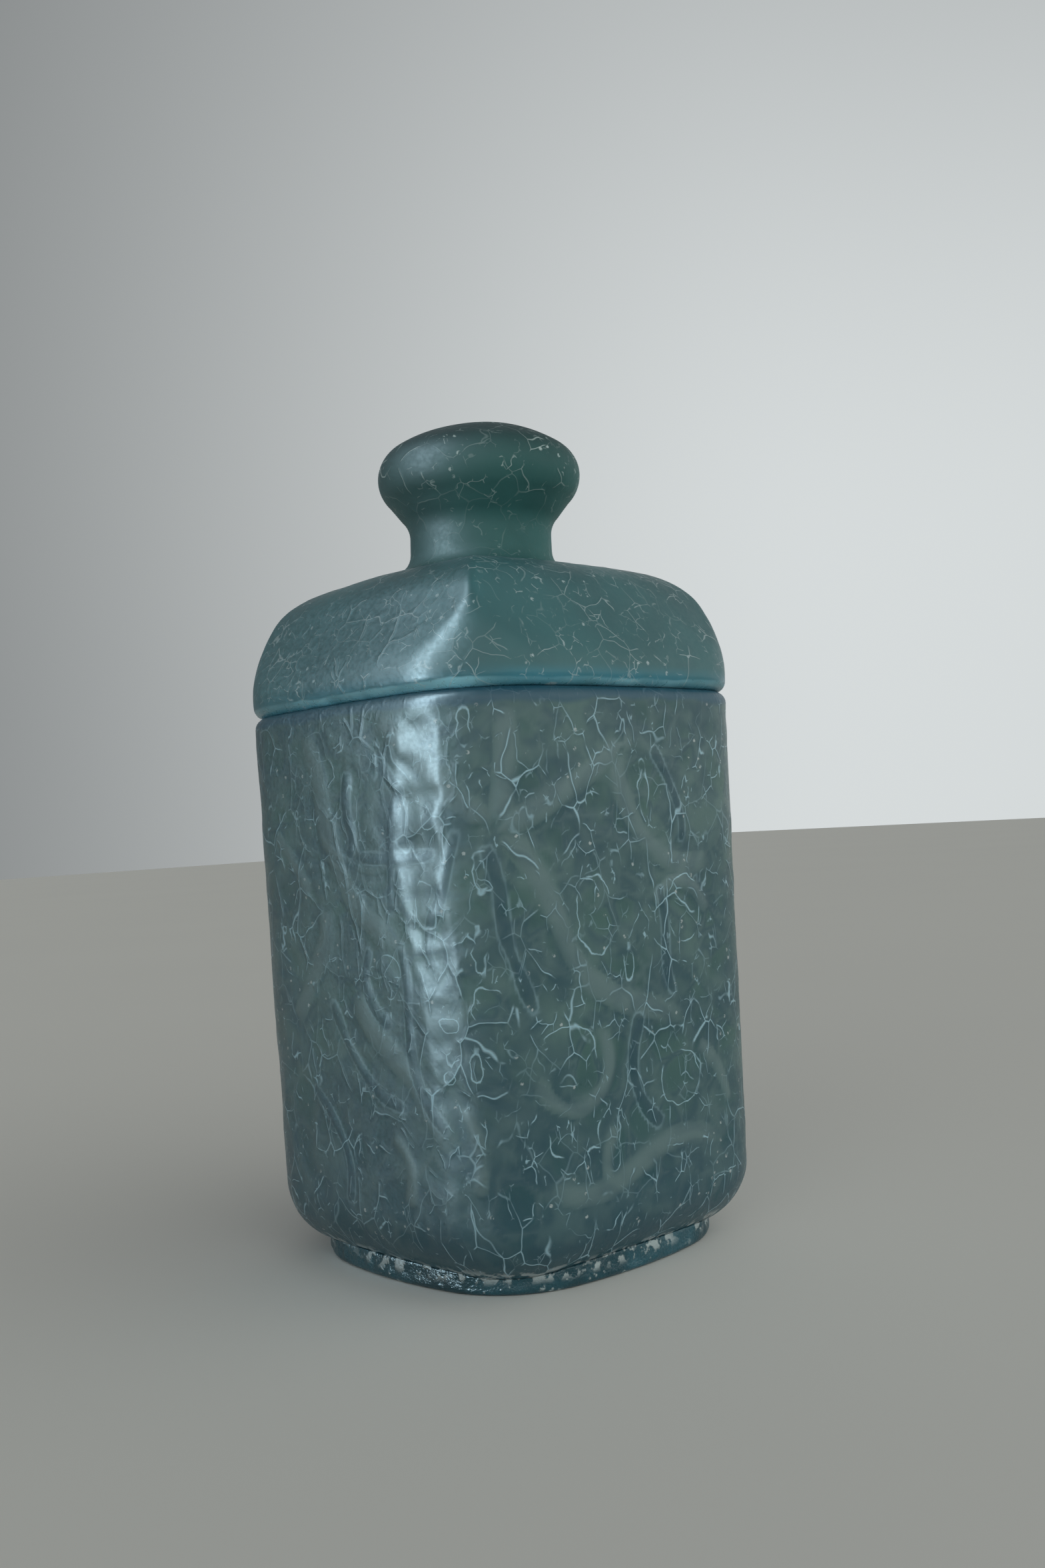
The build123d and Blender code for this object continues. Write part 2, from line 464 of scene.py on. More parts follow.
def makeKnobGlass():
    look = knobLook
    material, tree, shader, place = newMaterial("darkKnobGlass")
    cloud, grain = useFrost(tree, place, 35.0)
    large = useCracks(tree, place, look["largeCracks"])
    small = useCracks(tree, place, look["smallCracks"])
    pale = largest(tree, large["Lines"], small["Lines"], useChips(tree, place, look["chips"]))
    level = heightOf(tree, place)
    # painted shade on the knob's top, growing with height
    topShadeShare = remap(tree, level, (seam + look["topShadeFrom"]) * millimetre, (seam + look["topShadeTo"]) * millimetre)
    crackedFrom = (seam + look["crackedFrom"]) * millimetre
    crackedTo = (seam + look["crackedTo"]) * millimetre
    colour = mixColour(tree, cloud, look["glass"], look["murk"])
    colour = mixColour(tree, times(tree, topShadeShare, 0.85), colour, look["topShade"])
    pale = times(tree, pale, remap(tree, level, crackedFrom, crackedTo, 0.25, 0.9))
    colour = mixColour(tree, pale, colour, look["crack"])
    height = calc(tree, "ADD", times(tree, large["Halo"], 0.4), times(tree, grain, 0.15))
    finishGlass(tree, shader, look, colour, remap(tree, grain, 0.3, 0.7, 0.56, 0.66), height, 0.35)
    return material


footLook = {
    # the foot's dark blue is partly its own colour and partly painted shade under the jar's base
    "glass": (0.030, 0.125, 0.165, 1),
    "murk": (0.014, 0.060, 0.078, 1),
    "chip": (0.66, 0.72, 0.72, 1),
    "largeChips": (260.0, 0.45),
    "smallChips": (600.0, 0.6),
    "tornFrom": 0.0020, "tornTo": 0.0040,     # metres above the table, where the torn edge starts
    "transmission": 0.15, "bending": 1.5,
}


def makeFootGlass():
    look = footLook
    material, tree, shader, place = newMaterial("chippedFootGlass")
    cloud, grain = useFrost(tree, place, 60.0)
    patches = noiseShare(tree, place, 48.0, 3.0)
    large = useChips(tree, place, look["largeChips"])
    small = useChips(tree, place, look["smallChips"])
    chips = times(tree, largest(tree, large, small), remap(tree, patches, 0.38, 0.52))
    torn = remap(tree, noiseShare(tree, place, 330.0, 3.0), 0.50, 0.57)
    edge = times(tree, torn, remap(tree, heightOf(tree, place), look["tornFrom"], look["tornTo"]))
    edge = times(tree, edge, remap(tree, patches, 0.36, 0.50, 0.3, 1.0))
    chips = largest(tree, times(tree, edge, 0.85), times(tree, chips, 0.7))
    colour = mixColour(tree, cloud, look["glass"], look["murk"])
    colour = mixColour(tree, times(tree, chips, 0.8), colour, look["chip"])
    rough = remap(tree, chips, 0.0, 1.0, 0.3, 0.6)
    finishGlass(tree, shader, look, colour, rough, calc(tree, "ADD", chips, grain), 0.6)
    return material


sealLook = {
    "clear": (0.55, 0.60, 0.60, 1),
    "cloudy": (0.42, 0.48, 0.49, 1),
    "transmission": 0.6, "bending": 1.42,
}


def makeSealSilicone():
    look = sealLook
    material, tree, shader, place = newMaterial("clearSilicone")
    cloud, grain = useFrost(tree, place, 80.0)
    colour = mixColour(tree, cloud, look["clear"], look["cloudy"])
    rough = remap(tree, grain, 0.3, 0.7, 0.32, 0.45)
    finishGlass(tree, shader, look, colour, rough, grain, 0.2, depth=0.0002)
    return material


jarShape = {
    "half": 51.0, "corner": 26.0, "side": 256.0, "draft": 0.95,
    "wall": 5.0, "base": 3.0, "floor": 9.5, "baseRound": 15.5, "cavityRound": 12.0,
    "rimOuter": 2.8, "rimInner": 1.2,
    "columns": 420, "wallRows": 116,
}
perimeter = 354.4        # round the seam
frontCorner = 7 / 8      # share of the way round from the middle of the +X side

# lines in the glass, as (distance round from the front corner, height)
veins = {
    "bands": {"width": 7.0, "height": 0.28, "lines": [
        [(-1, 102), (6, 104), (14, 107.5), (22, 111.5), (30, 116), (37, 120), (43, 123)],
        [(38, 121), (35.5, 114), (38, 107), (42, 101), (47, 96.5), (53, 93), (61, 92), (70, 94)],
        [(0, 104), (6, 101), (10, 95), (14, 89), (17, 82), (20, 75), (24, 69),
         (31, 64.5), (40, 61.5), (50, 59), (61, 55)],
        [(3, 103), (-3, 108), (-9, 114), (-15, 120), (-22, 126), (-27, 130)],
        [(4, 104), (4.5, 112), (6, 120), (6, 131)],
        [(-56, 130), (-52, 124), (-49, 117), (-49, 110), (-46, 102), (-42, 93), (-37, 86), (-30, 81.5),
         (-24, 76)],
        [(9, 26), (18, 22), (27, 22), (36, 25), (46, 29.5), (58, 30), (69, 25)],
        [(-66, 60), (-60, 66), (-55, 73), (-50, 80), (-50, 88)],
        [(-40, 68), (-37, 61), (-30, 55), (-22, 49), (-16, 40), (-10, 33)],
    ]},
    "ropes": {"width": 3.2, "height": 0.20, "lines": [
        [(-28, 121), (-24, 116), (-20.5, 112), (-24, 108), (-24.5, 101), (-25, 96), (-26, 90), (-26, 84)],
        [(-24, 79), (-22, 71), (-23, 61), (-22, 51), (-18, 43), (-12, 37)],
        [(-36, 98.5), (-28, 97.5), (-20, 97.5), (-11, 98.5)],
        [(-6, 104), (-9, 96), (-10.5, 89), (-14.5, 83), (-16, 77), (-13, 72)],
        [(-38, 118), (-40, 110), (-37, 102), (-40, 98)],
        [(-34, 78), (-37, 71), (-34, 64), (-28, 60)],
        [(0, 100), (3, 92), (3, 82), (6, 72), (10, 62)],
        [(-50, 66), (-46, 58), (-40, 50), (-33, 44), (-24, 42)],
        [(40, 60), (36, 50), (38, 40), (46, 33)],
        [(48, 120), (53, 113), (58, 104), (57, 97)],
        [(48, 88), (50, 80), (49, 70), (52, 62)],
        [(-60, 45), (-52, 38), (-46, 28), (-48, 18)],
    ]},
    "arcs": {"width": 4.5, "height": 0.30, "lines": [
        [(9, 50), (12, 43), (20, 40), (28, 44), (30, 52), (26, 60)],
        [(46, 84), (52, 89), (60, 88), (66, 80)],
        [(30, 36), (26, 28), (30, 20)],
        [(-30, 36), (-24, 30), (-26, 20)],
        [(-70, 105), (-62, 98), (-56, 90)],
        [(60, 50), (68, 44), (72, 34)],
        [(-8, 44), (-4, 34), (-6, 24)],
    ]},
}
# round cells: distance round, height, half width, half height
knots = [
    (-3.2, 125, 1.4, 4.6), (-1, 94.5, 1.7, 4.6), (3.2, 94, 1.5, 4.8), (-2.1, 77, 1.5, 4.8),
    (-1, 65, 4.0, 4.0), (-4.6, 52, 1.4, 4.0), (17.5, 53, 7.6, 6.4), (5.8, 34, 1.3, 4.4),
    (14, 36, 3.0, 5.0), (27, 83, 5.2, 8.6),
    (37, 71.5, 1.6, 4.2), (-12.4, 106, 2.5, 2.0), (-10.6, 61.4, 2.3, 1.7), (-11.5, 50, 1.5, 1.3),
    (-28, 72, 3.6, 4.8), (-42, 127, 4.2, 4.6), (-15, 87, 3.0, 5.4), (-37, 110, 2.0, 4.2), (28, 33, 3.4, 7.0),
    (57, 82, 6.0, 7.4), (44.5, 110, 1.7, 5.6), (53, 43, 7.0, 6.0),
]
noKnot = 9.0             # a distance at which no round cell is near

# a flat beside the corner: height, middle, half width
flats = [
    (12, -6, 3.0), (20, -6.5, 4.2), (28, -8, 3.2), (36, -8.5, 4.0), (60, -11.5, 4.6), (80, -14, 5.6),
    (100, -17, 6.4), (126, -14, 5.4), (133, -13.5, 1.0),
]
rearShift = 3.0          # the rear faces repeat the front upside down, this much above the middle

# relief of the jar's skin; a size is how far apart the waves or cells of a pattern lie
relief = {
    "drift": 0.7, "driftSize": 9.0,                        # how far a vein strays from its line
    "sideFrom": 0.14, "sideTo": 0.62,                      # shares of a vein's width at which its side falls
    "ripple": 0.03, "rippleTurn": 2.4, "rippleFade": 5.0,
    "broad": 0.14, "broadSize": 24.0, "broadWidth": 4.0,
    "fine": 0.07, "fineSize": 10.5, "fineWidth": 1.6,
    "swell": 0.14, "swellSize": 26.0,
    "ragged": 0.9, "raggedSize": 2.6,                      # how uneven the round cells' edges are
    "cell": 0.12, "cellEdge": (-1.6, 0.2), "cellRim": 0.05, "cellRimWidth": 0.9,
    "sink": 0.15,                                          # lowers the whole skin, to keep the jar's size
    "footFade": (5.0, 15.0), "rimFade": (7.0, 1.5),        # above the table, and below the seam
}


def wallPoint(distance, height):
    less = (seam - height) * math.tan(math.radians(jarShape["draft"]))
    around = frontCorner + distance / perimeter
    point = outlinePoint(around, jarShape["half"], jarShape["corner"], jarShape["side"], less)
    return Vector((point.x, point.y, height))


def roundedLine(points):
    # cuts the corners of a given line three times
    line = [Vector(point) for point in points]
    for _ in range(3):
        cut = [line[0]]
        for first, second in zip(line, line[1:]):
            cut += [first.lerp(second, 0.25), first.lerp(second, 0.75)]
        line = cut + [line[-1]]
    return line


def veinTree(lines):
    # every vein on the two front faces, and again upside down on the two rear faces
    spots = []
    for points in lines:
        line = roundedLine(points)
        for index, (first, second) in enumerate(zip(line, line[1:])):
            share = (index + 0.5) / (len(line) - 1)
            strength = smooth(0.0, 0.2, share) * smooth(0.0, 0.2, 1 - share)
            steps = max(1, int((second - first).length / 0.35))
            for step in range(steps):
                spot = first.lerp(second, step / steps)
                spots.append((wallPoint(spot.x, spot.y), strength))
                spots.append((wallPoint(spot.x + perimeter / 2, seam + rearShift - spot.y), strength))
    tree = KDTree(len(spots))
    for index, (place, _) in enumerate(spots):
        tree.insert(place, index)
    tree.balance()
    return tree, spots


def cellWeb(place, size, width):
    # ridges between uneven cells, 0 to 1
    warped = place / size + noise.noise_vector(place / size * 1.4) * 0.35
    distances = noise.voronoi(warped)[0]
    return 1 - smooth(0.0, width, (distances[1] - distances[0]) * size / 2)


def knotDistance(distance, height):
    # signed distance to the edge of the nearest round cell
    nearest = noKnot
    for across, up, halfWidth, halfHeight in knots:
        for side, level in ((across, up), (across + perimeter / 2, seam + rearShift - up)):
            gap = (distance - side + perimeter / 2) % perimeter - perimeter / 2
            rise = height - level
            if abs(gap) < halfWidth + 6 and abs(rise) < halfHeight + 6:
                reach = (abs(gap / halfWidth) ** 2.4 + abs(rise / halfHeight) ** 2.4) ** (1 / 2.4)
                nearest = min(nearest, (reach - 1) * min(halfWidth, halfHeight))
    return nearest


def flatDepth(distance, height):
    # how far a flat beside the front corner lies under the round, and the same on the rear corner
    deepest = 0.0
    for side, level in ((distance, height), (distance + perimeter / 2, seam + rearShift - height)):
        side = (side + perimeter / 2) % perimeter - perimeter / 2
        for low, high in zip(flats, flats[1:]):
            if low[0] <= level < high[0]:
                share = (level - low[0]) / (high[0] - low[0])
                centre = low[1] + (high[1] - low[1]) * share + noise.noise((level / 8, 0, 3)) * 1.5
                half = (low[2] + (high[2] - low[2]) * share) * (1 + noise.noise((level / 6, 0, 9)) * 0.3)
                deepest = max(deepest, (half**2 - (side - centre) ** 2) / (2 * jarShape["corner"]))
    return deepest


def veinLift(place, trees):
    # how high the veins stand here, and how far this is on a band or an arc and on a rope, 0 to 1
    drift = noise.noise(place / relief["driftSize"]) * relief["drift"]
    lift = 0.0
    ridge = 0.0
    rope = 0.0
    for name, (tree, spots) in trees.items():
        family = veins[name]
        _, index, gap = tree.find(place)
        gap = abs(gap + drift)
        strength = spots[index][1]
        profile = (1 - smooth(relief["sideFrom"], relief["sideTo"], gap / family["width"])) * strength
        ripple = math.cos(gap * relief["rippleTurn"]) * math.exp(-gap / relief["rippleFade"]) * strength
        lift = max(lift, profile * family["height"]) + ripple * relief["ripple"]
        if name == "ropes":
            rope = profile
        else:
            ridge = max(ridge, profile)
    return lift, ridge, rope


def jarRelief(bm, skinRows):
    rowLayer = bm.verts.layers.int["row"]
    aroundLayer = bm.verts.layers.float["around"]
    ridgeLayer = bm.verts.layers.float.new("ridge")
    ropeLayer = bm.verts.layers.float.new("rope")
    ringLayer = bm.verts.layers.float.new("ring")
    trees = {name: veinTree(family["lines"]) for name, family in veins.items()}
    fineShift = Vector((40, 0, 0))          # keeps the fine web from lining up with the broad one
    moves = []
    for vert in bm.verts:
        vert[ringLayer] = noKnot
        if vert[rowLayer] not in skinRows:
            continue
        place = vert.co.copy()
        distance = (vert[aroundLayer] - frontCorner + 0.5) % 1 * perimeter - perimeter / 2
        lift, ridge, rope = veinLift(place, trees)
        broad = cellWeb(place, relief["broadSize"], relief["broadWidth"])
        fine = cellWeb(place + fineShift, relief["fineSize"], relief["fineWidth"])
        lift = max(lift, broad * relief["broad"]) + fine * relief["fine"]
        ridge = max(ridge, broad * 0.45, fine * 0.5)
        lift += noise.noise(place / relief["swellSize"]) * relief["swell"]
        ring = knotDistance(distance, place.z)
        ring += noise.noise(place / relief["raggedSize"]) * relief["ragged"]
        lift += relief["cell"] * (1 - smooth(*relief["cellEdge"], ring))
        lift += relief["cellRim"] * math.exp(-(ring / relief["cellRimWidth"]) ** 2)
        lift -= flatDepth(distance, place.z) + relief["sink"]
        rimFrom, rimTo = relief["rimFade"]
        fade = smooth(*relief["footFade"], place.z) * (1 - smooth(seam - rimFrom, seam - rimTo, place.z))
        moves.append((vert, vert.normal.copy() * lift * fade))
        vert[ridgeLayer] = ridge * (0.3 + 0.7 * fade)
        vert[ropeLayer] = rope
        vert[ringLayer] = ring
    for vert, move in moves:
        vert.co += move


def jarLevel(height, inset, scale=1.0):
    less = (seam - height) * math.tan(math.radians(jarShape["draft"]))
    return (height, jarShape["half"] - less, jarShape["corner"] - less, jarShape["side"] - less, inset, scale)


def makeJar():
    s = jarShape
    rows = [jarLevel(s["base"], s["baseRound"], scale) for scale in (0.0, 0.35, 0.7, 0.9)]
    firstSkin = len(rows)
    rows += arcRows(jarLevel, s["baseRound"], s["base"] + s["baseRound"], s["baseRound"], -90, 0, 22)
    wallStart = s["base"] + s["baseRound"]
    wallEnd = seam - s["rimOuter"]
    for step in range(1, s["wallRows"]):
        rows.append(jarLevel(wallStart + (wallEnd - wallStart) * step / s["wallRows"], 0.0))
    rows += arcRows(jarLevel, s["rimOuter"], wallEnd, s["rimOuter"], 0, 90, 6)
    lastSkin = len(rows)
    rows += arcRows(jarLevel, s["wall"] - s["rimInner"], seam - s["rimInner"], s["rimInner"], 90, 180, 4)
    innerEnd = s["floor"] + s["cavityRound"]
    for step in range(1, 7):
        height = seam - s["rimInner"] - (seam - s["rimInner"] - innerEnd) * step / 7
        rows.append(jarLevel(height, s["wall"]))
    rows += arcRows(jarLevel, s["wall"] + s["cavityRound"], innerEnd, s["cavityRound"], 0, -90, 6)
    rows += [jarLevel(s["floor"], s["wall"] + s["cavityRound"], scale) for scale in (0.8, 0.4, 0.0)]
    bm = spinRows(rows, s["columns"])
    jarRelief(bm, range(firstSkin, lastSkin))
    bmesh.ops.recalc_face_normals(bm, faces=bm.faces)
    return bm


footShape = {
    "half": 42.4, "corner": 26.0, "side": 110.0, "height": 5.8, "edgeRound": 1.6,
    "ring": 8.0, "recess": 1.2, "gap": 0.08, "columns": 420,
    "chipDepth": 0.55, "chipSize": 2.2, "chunkSize": 7.0,
    "meetsAbove": 1.3,          # above this height the jar's base bounds the foot
}


def footLevel(height, inset, scale=1.0):
    return (height, footShape["half"], footShape["corner"], footShape["side"], inset, scale)


def makeFoot(jarTree):
    s = footShape
    rows = [footLevel(s["recess"], s["ring"], scale) for scale in (0.0, 0.5, 1.0)]
    rows.append(footLevel(0.0, s["ring"] - 0.3))
    rows += arcRows(footLevel, s["edgeRound"], s["edgeRound"], s["edgeRound"], -90, 0, 7)
    sideHeight = s["height"] - s["edgeRound"] - 0.5
    rows += [footLevel(s["edgeRound"] + sideHeight * step / 6, 0.0) for step in range(1, 6)]
    rows += arcRows(footLevel, 0.5, s["height"] - 0.5, 0.5, 0, 90, 3)
    rows += [footLevel(s["height"], inset) for inset in (1.0, 1.8, 3.0, 5.0, 8.0)]
    rows += [footLevel(s["height"], 8.0, scale) for scale in (0.6, 0.0)]
    bm = spinRows(rows, s["columns"])
    for vert in bm.verts:
        # only the outer side is chipped
        side = smooth(0.6, 1.8, vert.co.z) * smooth(0.86, 0.93, math.hypot(vert.co.x, vert.co.y) / s["half"])
        chips = noise.noise(vert.co / s["chipSize"]) * 0.6 + noise.noise(vert.co / s["chunkSize"]) * 0.6
        vert.co += Vector((vert.co.x, vert.co.y, 0)).normalized() * chips * side * s["chipDepth"]
        if vert.co.z > s["meetsAbove"]:
            above = jarTree.ray_cast(Vector((vert.co.x, vert.co.y, -20)), Vector((0, 0, 1)))[0]
            if above:
                vert.co.z = min(vert.co.z, above.z - s["gap"])
    bmesh.ops.recalc_face_normals(bm, faces=bm.faces)
    return bm


lidShape = {
    "rise": 34.4, "sidePower": 2.8, "crownPower": 3.2, "crownHalf": 14.0,
    "crownShare": 0.04, "cornerFade": 1.8, "cornerLow": 0.10, "cornerHigh": 0.66,
    "roof": 5.0, "plugDepth": 7.0, "plugGap": 1.4, "plugThickness": 3.6, "plugRound": 0.8,
    "sealDrop": 2.2, "sealHeight": 3.2, "grooveDepth": 0.8, "clearance": 0.05,
    "columns": 360, "domeRows": 60,
    "lump": 0.25, "lumpSize": 24.0, "dimple": 0.06, "dimpleSize": 8.0,
    "web": 0.06, "webSize": 11.0, "webWidth": 1.4, "lipWave": 0.15, "lipWaveSize": 5.0,
}


def cornerReach(share):
    # how far a corner stands from the middle of a square whose corner radius is a share of its half width
    return math.sqrt(2) - (math.sqrt(2) - 1) * share


def domeRows(inset, base, rise, first, steps):
    # rows up a four-sided dome, from a share of its height to the flat crown
    s = lidShape
    half = jarShape["half"] - inset
    rimShare = (jarShape["corner"] - inset) / half
    lastTurn = math.acos((s["crownHalf"] / half) ** (s["crownPower"] / 2))
    firstTurn = math.asin(first ** (s["sidePower"] / 2))
    rows = []
    for step in range(steps + 1):
        turn = firstTurn + (lastTurn - firstTurn) * (step / steps) ** 1.15
        lift = math.sin(turn) ** (2 / s["sidePower"])
        spread = math.cos(turn) ** (2 / s["crownPower"])
        extra = rimShare - s["crownShare"]
        softShare = s["crownShare"] + extra * (1 - lift ** s["cornerFade"])
        share = s["crownShare"] + extra * (1 - smooth(s["cornerLow"], s["cornerHigh"], lift))
        # sharper corners reach further out, so the sides come in until the diagonal is as long as before
        width = half * spread * cornerReach(softShare) / cornerReach(share)
        rows.append((base + rise * lift, width, width * share, jarShape["side"] * spread, 0.0, 1.0))
    return rows


def mouthLevel(height, inset):
    return (height, jarShape["half"], jarShape["corner"], jarShape["side"], inset, 1.0)


def makeLid():
    s = lidShape
    lip = jarShape["rimOuter"]
    outer = domeRows(0.0, seam, s["rise"], lip / s["rise"], s["domeRows"])
    crown = outer[-1]
    rows = [crown[:5] + (scale,) for scale in (0.0, 0.4, 0.75)] + outer[::-1]
    wallHalf = outer[0][1]
    wallCorner = jarShape["corner"] * wallHalf / jarShape["half"]

    def lipLevel(height, inset):
        return (height, wallHalf, wallCorner, jarShape["side"], inset, 1.0)

    rows += arcRows(lipLevel, lip, seam + lip, lip, 0, -90, 8)[1:]
    lastSkin = len(rows)
    plug = jarShape["wall"] + s["plugGap"]
    foot = seam - s["plugDepth"]
    grooveTop = seam - s["sealDrop"] + s["clearance"]
    grooveEnd = grooveTop - s["sealHeight"] - 2 * s["clearance"]
    grooveFloor = plug + s["grooveDepth"] + s["clearance"]
    rows += [mouthLevel(seam, plug), mouthLevel(grooveTop, plug), mouthLevel(grooveTop, grooveFloor)]
    rows += [mouthLevel(grooveEnd, grooveFloor), mouthLevel(grooveEnd, plug)]
    rows += arcRows(mouthLevel, plug + s["plugRound"], foot + s["plugRound"], s["plugRound"], 0, -90, 3)
    hollowInset = plug + s["plugThickness"]
    hollow = domeRows(hollowInset, foot, s["rise"] - s["roof"] + s["plugDepth"], 0.0, 16)
    rows += hollow
    rows += [hollow[-1][:5] + (scale,) for scale in (0.5, 0.0)]
    bm = spinRows(rows, s["columns"])
    rowLayer = bm.verts.layers.int["row"]
    moves = []
    for vert in bm.verts:
        if vert[rowLayer] < lastSkin:
            place = vert.co.copy()
            lumps = noise.noise(place / s["lumpSize"]) * s["lump"]
            lumps += noise.noise(place / s["dimpleSize"]) * s["dimple"]
            web = cellWeb(place, s["webSize"], s["webWidth"]) * s["web"]
            edge = smooth(seam, seam + 4, place.z)
            lipWave = (1 - edge) * noise.noise(place / s["lipWaveSize"]) * s["lipWave"]
            lift = (lumps + web) * edge + lipWave * smooth(seam, seam + 1, place.z)
            moves.append((vert, vert.normal.copy() * lift))
    for vert, move in moves:
        vert.co += move
    bmesh.ops.recalc_face_normals(bm, faces=bm.faces)
    return bm


knobShape = {
    "radius": 25.7, "widest": 58.2, "crown": 13.4, "edge": 8.5, "roll": 9.0, "throat": 7.0, "slope": 45.0,
    "neck": 18.0, "neckTop": 43.0, "neckBottom": 39.0, "flare": 4.5, "sink": 0.05,
    "tilt": 1.4, "tiltTowards": 47.9, "wobble": 0.3, "wobbleSize": 16.0, "columns": 160,
}


def arcPoints(centre, radius, start, end, steps):
    points = []
    for step in range(steps + 1):
        turn = math.radians(start + (end - start) * step / steps)
        points.append((centre[0] + radius * math.cos(turn), centre[1] + radius * math.sin(turn)))
    return points


def makeKnob(lidTree):
    s = knobShape
    widest = seam + s["widest"]
    edgeCentre = s["radius"] - s["edge"]
    crownRadius = (edgeCentre**2 + s["crown"] ** 2 - s["edge"] ** 2) / (2 * (s["crown"] - s["edge"]))
    crownTurn = math.degrees(math.acos(edgeCentre / (crownRadius - s["edge"])))
    points = arcPoints((0, widest + s["crown"] - crownRadius), crownRadius, 90, crownTurn, 22)
    points += arcPoints((edgeCentre, widest), s["edge"], crownTurn, 0, 12)[1:]
    points += arcPoints((s["radius"] - s["roll"], widest), s["roll"], 0, -s["slope"], 10)[1:]
    throatCentre = (s["neck"] + s["throat"], seam + s["neckTop"])
    throat = arcPoints(throatCentre, s["throat"], 180 - s["slope"], 180, 8)
    middle = Vector(points[-1]).lerp(Vector(throat[0]), 0.5)
    points += [tuple(middle)] + throat
    points.append((s["neck"], seam + (s["neckTop"] + s["neckBottom"]) / 2))
    flareCentre = (s["neck"] + s["flare"], seam + s["neckBottom"])
    points += arcPoints(flareCentre, s["flare"], 180, 270, 7)
    lowest = points[-1][1]
    points.append((s["neck"] * 0.5, lowest))
    points.append((0.0, lowest))
    bm = bmesh.new()
    line = [bm.verts.new((radius, 0, height)) for radius, height in points]
    spinLine(bm, line, s["columns"])
    bmesh.ops.remove_doubles(bm, verts=bm.verts, dist=0.001)
    bmesh.ops.recalc_face_normals(bm, faces=bm.faces)
    bm.normal_update()
    for vert in bm.verts:
        vert.co += vert.normal * noise.noise(vert.co / s["wobbleSize"]) * s["wobble"]
    hinge = Matrix.Rotation(math.radians(s["tiltTowards"]), 3, "Z") @ Vector((0, 1, 0))
    lean = Matrix.Rotation(math.radians(s["tilt"]), 3, hinge)
    bmesh.ops.rotate(bm, cent=(0, 0, lowest), matrix=lean, verts=bm.verts)
    for vert in bm.verts:
        # the neck's foot follows the lid's crown
        below = lidTree.ray_cast(Vector((vert.co.x, vert.co.y, seam + 90)), Vector((0, 0, -1)))[0]
        if below:
            share = 1 - smooth(lowest + 0.3, lowest + s["flare"], vert.co.z)
            vert.co.z += (below.z + s["sink"] - lowest) * share
            vert.co.z = max(vert.co.z, below.z + s["sink"])
    bmesh.ops.recalc_face_normals(bm, faces=bm.faces)
    return bm


jarBm = makeJar()
jarTree = BVHTree.FromBMesh(jarBm)
footBm = makeFoot(jarTree)
toPiece(jarBm, "crackle_jar", "jar", "jar_body", makeJarGlass())
toPiece(footBm, "chipped_foot", "jar", "foot", makeFootGlass())
lidBm = makeLid()
lidTree = BVHTree.FromBMesh(lidBm)
knobBm = makeKnob(lidTree)
toPiece(lidBm, "domed_lid", "lid", "lid_shell", makeLidGlass())
toPiece(knobBm, "mushroom_knob", "lid", "lid_knob", makeKnobGlass())
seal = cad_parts["lid_seal"]
seal.data.materials.clear()
seal.data.materials.append(makeSealSilicone())
print("pieces placed")


# turns are degrees round the object, and heights in the sky are degrees over the horizon
studio = {
    "floorHalf": 6.0,
    "floorColour": (0.80, 0.755, 0.72, 1),
    "floorRoughness": 0.9,
    "dim": (0.21, 0.225, 0.23, 1),
    "bright": (1.44, 1.58, 1.54, 1),
    "brightTurn": 88.0, "brightHeight": 14.0,      # where the room is brightest
    "darkTurn": -62.0, "dark": 0.25,               # a shaded wall, and the share of the light left there
    "rearTurn": 232.0, "rearHeight": 12.0,         # a softer glow that opens up the rear faces
    "rear": (0.46, 0.48, 0.48, 1),
    "overhead": 0.28,                              # share of the light that is left straight above
}
# a softbox, with its width and tallness, that looks at the middle of the canister
window = {
    "turn": -14.0, "distance": 0.80, "height": 0.44, "size": (0.31, 1.30), "aim": 0.10,
    "power": 36.0, "colour": (0.62, 0.87, 1.0),
}
camera = {
    "turn": 47.916, "distance": 0.3801, "height": 0.1036,
    "pitch": 1.566, "yaw": -1.079, "roll": -3.36, "lens": 34.4,
}


def makeFloor():
    material, tree, shader, place = newMaterial("paleFloor")
    cloud = noiseShare(tree, place, 3.0)
    paler = tuple(value * 1.03 for value in studio["floorColour"][:3]) + (1,)
    tree.links.new(mixColour(tree, cloud, studio["floorColour"], paler), shader.inputs["Base Color"])
    shader.inputs["Roughness"].default_value = studio["floorRoughness"]
    shader.inputs["Specular IOR Level"].default_value = 0.0
    bm = bmesh.new()
    bmesh.ops.create_grid(bm, x_segments=1, y_segments=1, size=studio["floorHalf"])
    floor = newObject(bm, "studioFloor", material)


def wayTo(turn, lift=0.0):
    turn = math.radians(turn)
    lift = math.radians(lift)
    return Vector((math.sin(turn) * math.cos(lift), -math.cos(turn) * math.cos(lift), math.sin(lift)))


def facing(tree, place, way):
    return addNode(tree, "VectorMath", {0: place, 1: way}, operation="DOT_PRODUCT").outputs["Value"]


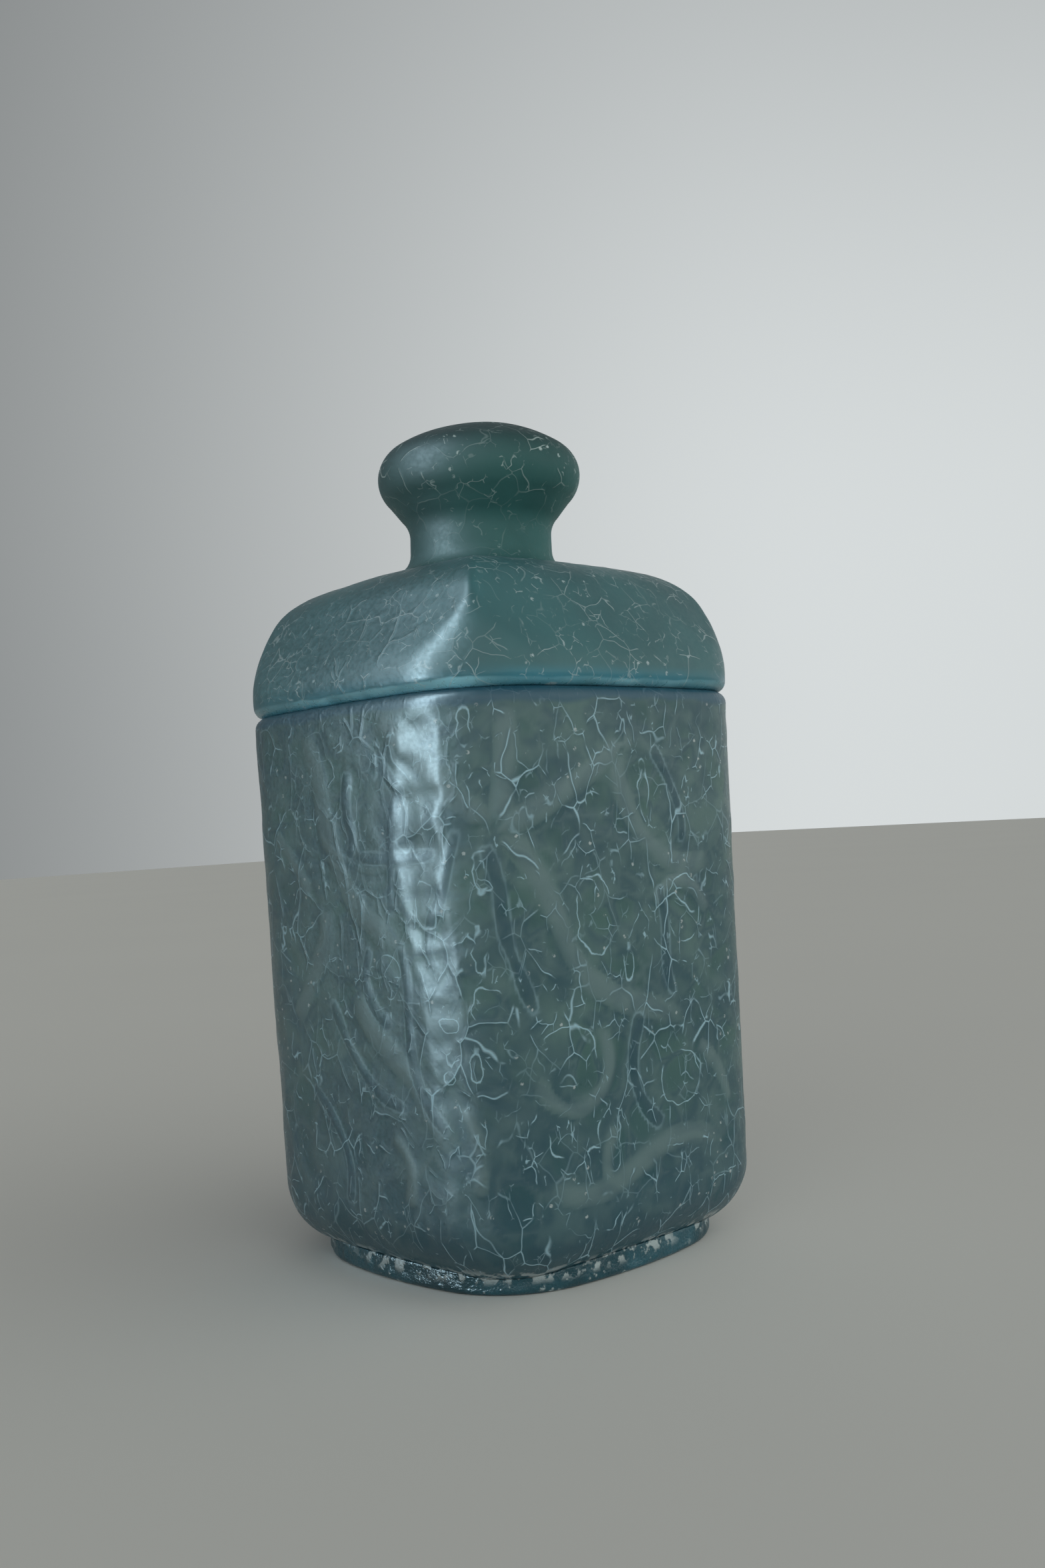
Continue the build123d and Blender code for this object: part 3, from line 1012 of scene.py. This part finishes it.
def makeSky():
    world = bpy.data.worlds.new("softStudio")
    world.use_nodes = True
    tree = world.node_tree
    place = tree.nodes.new("ShaderNodeTexCoord").outputs["Generated"]
    bright = facing(tree, place, wayTo(studio["brightTurn"], studio["brightHeight"]))
    sky = mixColour(tree, remap(tree, bright, -0.15, 1.0), studio["dim"], studio["bright"])
    rear = facing(tree, place, wayTo(studio["rearTurn"], studio["rearHeight"]))
    sky = mixColour(tree, remap(tree, rear, 0.0, 0.95), sky, studio["rear"], "ADD")
    shade = remap(tree, heightOf(tree, place), 0.15, 0.95, 1.0, studio["overhead"])
    wall = facing(tree, place, wayTo(studio["darkTurn"]))
    shade = times(tree, shade, remap(tree, wall, 0.1, 0.85, 1.0, studio["dark"]))
    dimmed = addNode(tree, "VectorMath", {0: sky, "Scale": shade}, operation="SCALE").outputs[0]
    tree.links.new(dimmed, tree.nodes["Background"].inputs["Color"])
    bpy.context.scene.world = world


def makeWindow():
    lamp = bpy.data.lights.new("window", "AREA")
    lamp.shape = "RECTANGLE"
    lamp.size, lamp.size_y = window["size"]
    lamp.energy = window["power"]
    lamp.color = window["colour"]
    softbox = bpy.data.objects.new("window", lamp)
    softbox.location = wayTo(window["turn"]) * window["distance"] + Vector((0, 0, window["height"]))
    aim = Vector((0, 0, window["aim"])) - softbox.location
    softbox.rotation_euler = aim.to_track_quat("-Z", "Y").to_euler()
    softbox.visible_diffuse = False        # it only gives the satin glass its sheen
    bpy.context.scene.collection.objects.link(softbox)


def makeCamera():
    data = bpy.data.cameras.new("camera")
    data.lens = camera["lens"]
    data.sensor_width = 36.0
    eye = bpy.data.objects.new("camera", data)
    look = math.radians(camera["turn"] + camera["yaw"])
    pitch = math.radians(camera["pitch"])
    forward = Vector((-math.sin(look) * math.cos(pitch), math.cos(look) * math.cos(pitch), math.sin(pitch)))
    right = forward.cross(Vector((0, 0, 1))).normalized()
    up = right.cross(forward)
    upright = Matrix((right, up, -forward)).transposed().to_4x4()
    place = wayTo(camera["turn"]) * camera["distance"] + Vector((0, 0, camera["height"]))
    roll = Matrix.Rotation(math.radians(camera["roll"]), 4, "Z")
    eye.matrix_world = Matrix.Translation(place) @ upright @ roll
    bpy.context.scene.collection.objects.link(eye)
    bpy.context.scene.camera = eye


makeFloor()
makeSky()
makeWindow()
makeCamera()
bpy.context.scene.view_settings.view_transform = "Standard"
print("studio ready")
